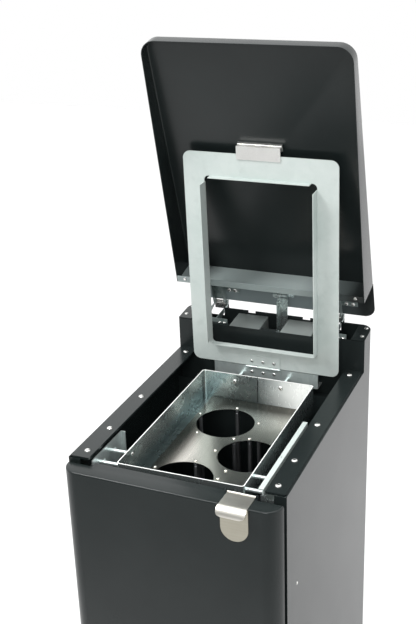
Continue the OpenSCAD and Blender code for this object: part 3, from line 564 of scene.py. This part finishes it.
def make_latch():
    """The latch: a flat plate that rolls over the door's edge into a lip with rounded corners."""
    thick, bend, low_z = 1.5, 14.0, DOOR_TOP + 0.6
    centre_y, centre_z = DOOR_FRONT - 1.0, low_z - bend
    length = []
    for y in [3.0 - 4.0 * k for k in range(9)]:
        length.append(((y, low_z + thick), (y, low_z)))
    for k in range(0, 13):
        a = math.pi / 2 + math.pi / 2 * k / 12
        length.append(((centre_y + (bend + thick) * math.cos(a), centre_z + (bend + thick) * math.sin(a)),
                       (centre_y + bend * math.cos(a), centre_z + bend * math.sin(a))))
    total = len(length)
    bm = bmesh.new()
    outer, inner = [], []
    for i, (out, ins) in enumerate(length):
        left_over = (total - 1 - i) * bend * math.pi / 24
        cut = 9.0 - math.sqrt(max(0.0, 81.0 - (9.0 - min(left_over, 9.0)) ** 2))
        wide = 0.8 if i > 10 else 0.0
        x0, x1 = 99.0 + cut - wide, 149.0 - cut + wide
        xs = [x0 + (x1 - x0) * k / 10 for k in range(11)]
        outer.append(row(bm, [(x, *out) for x in xs]))
        inner.append(row(bm, [(x, *ins) for x in xs]))
    bridge(bm, outer, closed=False)
    bridge(bm, inner, closed=False)
    for side in (0, -1):
        bridge(bm, [[r[side] for r in outer], [r[side] for r in inner]], closed=False)
    for end in (0, -1):
        bridge(bm, [outer[end], inner[end]], closed=False)
    rod = [(0, 0), (1.3, 0), (1.5, 0.2), (1.5, 54.8), (1.3, 55), (0, 55)]
    lathe(bm, rod, facing((96.5, 3, DOOR_TOP + 2), (1, 0, 0)), 20)
    return finish_piece("latch_sheet", bm, AJAR_DOOR, "latch", LATCH_STEEL, ("latch_plate",),
                        bevel=0.0003)


# ---------------------------------------------------------------- small hardware


def rod_places():
    """Centres of the guide rods, evenly spaced round each cup hole."""
    places = []
    for cx, cy, first in CUPS:
        for k in range(RODS_PER_CUP):
            a = math.radians(first + 360 / RODS_PER_CUP * k)
            places.append((cx + CUP_ROD_CIRCLE * math.cos(a), cy + CUP_ROD_CIRCLE * math.sin(a)))
    return places


def make_heads():
    """Every screw and rivet head, one piece for each CAD node of fasteners."""
    rail = [(side * 176.6, y, 0) for side in (-1, 1) for y in (26, 111, 244, 461)]
    bm = bmesh.new()
    for point in rail:
        screw_head(bm, facing(point, (0, 0, 1)), 5.3, 2.6)
    finish_piece("rail_button_heads", bm, DECK, "cabinet", RIVET, ("rail_rivets",), angle=30)

    slope = math.tan(math.radians(LID_SLOPE))
    bm = bmesh.new()
    for side in (-1, 1):
        for y in (502, 536):
            screw_head(bm, facing((side * 190, y, 67 + (y - 485) * slope), (0, -slope, 1)), 4.0, 1.2)
    finish_piece("tower_button_heads", bm, DECK, "cabinet", RIVET, ("tower_rivets",), angle=30)

    bm = bmesh.new()
    for x in (-49, 49):
        screw_head(bm, facing((x, 412.5, -27), (0, -1, 0)), 4.5, 2.4, sides=4, socket=0.4)
    for y in (36, 79):
        screw_head(bm, facing((-116.5, y, -24.5), (1, 0, 0)), 3.8, 1.9, sides=4, socket=0.4)
        screw_head(bm, facing((116.5, y, -24.5), (-1, 0, 0)), 3.8, 1.9, sides=4, socket=0.4)
    finish_piece("tray_screw_heads", bm, DECK, "cabinet", RIVET, ("tray_screws",), angle=30)

    bm = bmesh.new()
    for x in LEAF_RIVET_X:
        screw_head(bm, facing((x, 455.0, -21), (0, -1, 0)), 3.5, 1.7, socket=0.3)
    finish_piece("leaf_rivet_heads", bm, DECK, "cabinet", RIVET, ("leaf_rivets",), angle=30)

    bm = bmesh.new()
    for x in LEAF_RIVET_X:
        screw_head(bm, facing((x, -12.5, 0.8), (0, 0, -1)), 3.5, 1.7, socket=0.3)
    finish_piece("ring_rivet_heads", bm, RAISED_RING, "clamp_ring", RIVET, ("ring_rivets",),
                 angle=30)

    bm = bmesh.new()
    for x in ARM_X:
        for dx in (8, 18):
            screw_head(bm, facing((x + ARM_W + 3 + dx, 504, 56), (0, -1, 0)), 4.0, 2.6)
    finish_piece("bracket_screw_heads", bm, DECK, "cabinet", RIVET, ("bracket_screws",),
                 angle=30)

    bm = bmesh.new()
    for x in ARM_X:
        for dx, y in ((10, -36), (24, -36), (10, -47)):
            screw_head(bm, facing((x + ARM_W + dx, y, -0.8), (0, 0, -1)), 4.5, 3.0)
    to_open = LID_SHEET.inverted() @ OPEN_LID
    for x in (-180, 180):
        screw_head(bm, to_open @ facing((x, 474, 1.0), (0, 0, -1)), 3.5, 1.0)
    finish_piece("lid_screw_heads", bm, LID_SHEET, "lid", RIVET, ("lid_screws",), angle=30)

    bm = bmesh.new()
    for x, y in rod_places():
        screw_head(bm, facing((x, y, -67.7), (0, 0, 1)), 3.4, 2.0, socket=0.42)
    finish_piece("cup_plate_heads", bm, DECK, "cabinet", STEEL, ("cup_plate_screws",), angle=30)

    bm = bmesh.new()
    screw_head(bm, facing((200, 52.5, -205.6), (1, 0, 0)), 3.0, 1.0)
    finish_piece("side_screw_head", bm, DECK, "cabinet", RIVET, ("side_screw",), angle=30)


def coil(bm, x0, x1, y, z, radius, wire, turns, steps=14, sides=6):
    """A round wire wound about an axis along X."""
    total = turns * steps
    loops = []
    for k in range(total + 1):
        a = 2 * math.pi * k / steps
        out = Vector((0, math.cos(a), math.sin(a)))
        centre = Vector((x0 + (x1 - x0) * k / total, y, z)) + out * radius
        loops.append(row(bm, [centre + wire * (math.cos(b) * out + Vector((math.sin(b), 0, 0)))
                              for b in (2 * math.pi * i / sides for i in range(sides))]))
    bridge(bm, loops)
    bm.faces.new(loops[0])
    bm.faces.new(loops[-1])


def make_hinge_pins():
    """The lid's hinge pins with coil springs, and a web joining each bracket's ears behind the pin."""
    bm = bmesh.new()
    for x in ARM_X:
        length = 35.0
        pin = [(0, 0), (2.4, 0), (3, 0.6), (3, length - 0.6), (2.4, length), (0, length)]
        lathe(bm, pin, facing((x - 4.5, LID_HINGE[1], LID_HINGE[2]), (1, 0, 0)), 24)
        coil(bm, x + 3.2, x + 22.8, LID_HINGE[1], LID_HINGE[2], 4.1, 0.7, 9)
        add_box(bm, (x - 3, LID_HINGE[1] + 3.2, 58), (x + ARM_W + 3, LID_HINGE[1] + 5.0, 70.9))
    finish_piece("hinge_pins_with_springs", bm, DECK, "cabinet", RIVET, ("lid_hinge_pins",),
                 angle=35)


def make_rods():
    """Guide rods with a collar under the plate, a groove and a threaded foot."""
    bm = bmesh.new()
    top, low = -69.2, -629.2
    profile = [(0, top), (3.6, top), (4.0, top - 0.6), (4.0, top - 7), (3.7, top - 7.4), (3.7, top - 8.4),
               (4.0, top - 8.8), (4.0, low + 22)]
    z = low + 21.5
    while z > low + 2:
        profile += [(3.55, z), (3.95, z - 0.5)]
        z -= 1.25
    profile += [(3.6, low), (0, low)]
    for x, y in rod_places():
        lathe(bm, profile, Matrix.Translation((x, y, 0)), 16)
    finish_piece("cup_guide_rods", bm, DECK, "cabinet", ROD, ("guide_rods",), angle=35)


def make_pedal_pad():
    """A rubber foot pad with raised ribs and rounded corners."""
    bm = bmesh.new()
    outline = (arc(-52, -241, 8, 180, 270, 6) + arc(52, -241, 8, 270, 360, 6)
               + arc(52, -197, 8, 0, 90, 6) + arc(-52, -197, 8, 90, 180, 6))
    scaled = [(x * 0.985, -219 + (y + 219) * 0.96) for x, y in outline]
    rings = [row(bm, [(x, y, 5.0) for x, y in outline]), row(bm, [(x, y, 8.6) for x, y in outline]),
             row(bm, [(x, y, 9.2) for x, y in scaled])]
    bridge(bm, rings)
    bm.faces.new(rings[0])
    bm.faces.new(rings[-1])
    for k in range(9):
        y = -241 + 5.5 * k
        ridge = [(-48, y - 1.2, 9.15), (-48, y - 0.7, 9.95), (-48, y + 0.7, 9.95), (-48, y + 1.2, 9.15)]
        ends = [row(bm, ridge), row(bm, [(-p[0], p[1], p[2]) for p in ridge])]
        bridge(bm, ends)
        bm.faces.new(ends[0])
        bm.faces.new(ends[1])
    finish_piece("pedal_rubber", bm, PEDAL, "pedal", PLASTIC, ("pedal_pad",), angle=30)


# ---------------------------------------------------------------- CAD nodes shown as they are

BEVELS = {"left_side_panel": 0.0006, "right_side_panel": 0.0006, "rear_panel": 0.0006, "left_rail": 0.0007,
          "right_rail": 0.0007, "clamp_ring": 0.0006, "bag_tray": 0.0004, "ring_grip": 0.0007,
          "lid_catch": 0.0006, "left_cover": 0.0005, "right_cover": 0.0005, "lift_bar": 0.0006,
          "tower_front_wall": 0.0006, "badge_plate": 0.0004}
SHARP = {"ring_hinge_pin", "ring_lower_leaf", "ring_upper_leaf"}

for name, piece in nodes.items():
    paint(piece, SLOT_MATERIAL[NODE_SLOT[name]])
    smooth(piece, 30.0)
    add_bevel(piece, 0.0002 if name in SHARP else BEVELS.get(name, 0.0004))

make_lid()
make_door()
make_latch()
make_heads()
make_hinge_pins()
make_rods()
make_pedal_pad()

REPAINTED = {"badge_plate": BADGE_STEEL, "left_cover": COVER_PAINTED_LIGHT, "right_cover": COVER_PAINTED_LIGHT,
             "lid_rear_wall": WALL_PAINTED_LIGHT, "clamp_ring": RING_ZINC, "ring_grip": GRIP_STEEL,
             "lid_catch": GRIP_STEEL, "left_lid_arm": HINGE_ZINC, "right_lid_arm": HINGE_ZINC,
             "left_lid_bracket": HINGE_ZINC, "right_lid_bracket": HINGE_ZINC,
             "left_tray_bracket": BRIGHT_ZINC, "right_tray_bracket": RING_ZINC,
             "spacers": BRIGHT_ZINC, "rear_crossbar": BRIGHT_ZINC,
             "ring_upper_leaf": RING_ZINC, "ring_lower_leaf": BRIGHT_ZINC, "bag_tray": TRAY_ZINC,
             "cup_plate": CUP_STEEL}
for name, material in REPAINTED.items():
    paint(nodes[name], material)

# ---------------------------------------------------------------- studio


def world_light():
    """White behind and beside the object, darker in front of it."""
    world = bpy.data.worlds.new("studio")
    bpy.context.scene.world = world
    world.use_nodes = True
    tree = world.node_tree
    back = tree.nodes["Background"]
    coord = tree.nodes.new("ShaderNodeTexCoord")
    split = tree.nodes.new("ShaderNodeSeparateXYZ")
    tree.links.new(coord.outputs["Generated"], split.inputs["Vector"])
    ramp = tree.nodes.new("ShaderNodeValToRGB")
    remap = tree.nodes.new("ShaderNodeMapRange")
    remap.inputs["From Min"].default_value = -1.0
    remap.inputs["From Max"].default_value = 1.0
    tree.links.new(split.outputs["Y"], remap.inputs["Value"])
    tree.links.new(remap.outputs["Result"], ramp.inputs["Fac"])
    ramp.color_ramp.elements[0].position = 0.10
    ramp.color_ramp.elements[0].color = (0.22, 0.22, 0.22, 1)
    ramp.color_ramp.elements[1].position = 0.55
    ramp.color_ramp.elements[1].color = (1, 1, 1, 1)
    brighter = tree.nodes.new("ShaderNodeVectorMath")
    brighter.operation = "SCALE"
    brighter.inputs["Scale"].default_value = 1.5
    tree.links.new(ramp.outputs["Color"], brighter.inputs[0])
    path = tree.nodes.new("ShaderNodeLightPath")
    mix = tree.nodes.new("ShaderNodeMix")
    mix.data_type = "RGBA"
    tree.links.new(path.outputs["Is Camera Ray"], mix.inputs["Factor"])
    tree.links.new(brighter.outputs["Vector"], mix.inputs["A"])
    mix.inputs["B"].default_value = (1, 1, 1, 1)
    tree.links.new(mix.outputs["Result"], back.inputs["Color"])
    back.inputs["Strength"].default_value = 1.0


def area_light(name, place, target, size, power):
    data = bpy.data.lights.new(name, "AREA")
    data.shape = "RECTANGLE"
    data.size, data.size_y = size
    data.energy = power
    lamp = bpy.data.objects.new(name, data)
    bpy.context.scene.collection.objects.link(lamp)
    lamp.location = place
    lamp.rotation_euler = (Vector(target) - Vector(place)).to_track_quat("-Z", "Y").to_euler()


def studio_floor():
    bm = bmesh.new()
    size = 6.0
    rows = [row(bm, [(-size, -size, 0), (size, -size, 0)]), row(bm, [(-size, size, 0), (size, size, 0)])]
    bridge(bm, rows, closed=False)
    mesh = bpy.data.meshes.new("studio_floor")
    bm.to_mesh(mesh)
    bm.free()
    floor = bpy.data.objects.new("studio_floor", mesh)
    bpy.context.scene.collection.objects.link(floor)
    s = Shader("pale_floor")
    pale = s.mix(s.noise(3.0, 3.0), (0.69, 0.69, 0.69), (0.72, 0.72, 0.72))
    colour = s.mix(s.rise("Y", -1.7, -0.5), (0.42, 0.42, 0.42), pale)
    s.finish(colour, 0.6)
    s.bsdf.inputs["Emission Color"].default_value = (1, 1, 1, 1)
    s.bsdf.inputs["Emission Strength"].default_value = 0.12
    paint(floor, s.mat)


def photo_camera():
    """The camera of the photo, solved from the object's straight edges and round holes."""
    az, el, roll = math.radians(22.62), math.radians(22.47), math.radians(-1.85)
    forward = Vector((-math.sin(az) * math.cos(el), math.cos(az) * math.cos(el), -math.sin(el)))
    right = Vector((math.cos(az), math.sin(az), 0))
    up = right.cross(forward)
    right_rolled = right * math.cos(roll) + up * math.sin(roll)
    up_rolled = up * math.cos(roll) - right * math.sin(roll)
    data = bpy.data.cameras.new("photo_camera")
    data.sensor_width = 36
    data.lens = 62.05
    data.shift_x = -0.0138
    data.shift_y = -0.0045
    data.clip_start, data.clip_end = 0.05, 60
    camera = bpy.data.objects.new("photo_camera", data)
    bpy.context.scene.collection.objects.link(camera)
    turn = Matrix((right_rolled, up_rolled, -forward)).transposed().to_4x4()
    camera.matrix_world = Matrix.Translation((0.67514, -1.68359, 1.79316)) @ turn
    bpy.context.scene.camera = camera


world_light()
area_light("top_box", (0.3, -0.3, 3.2), (0, 0, 0.9), (2.2, 1.6), 26)
area_light("left_key", (-1.5, -1.1, 3.3), (0, 0.1, 0.9), (1.1, 1.1), 75)
area_light("front_fill", (0.5, -2.3, 2.1), (0, 0, 0.85), (0.9, 0.9), 30)
studio_floor()
photo_camera()
view_settings = bpy.context.scene.view_settings
view_settings.view_transform = "Standard"
view_settings.exposure = 0.0
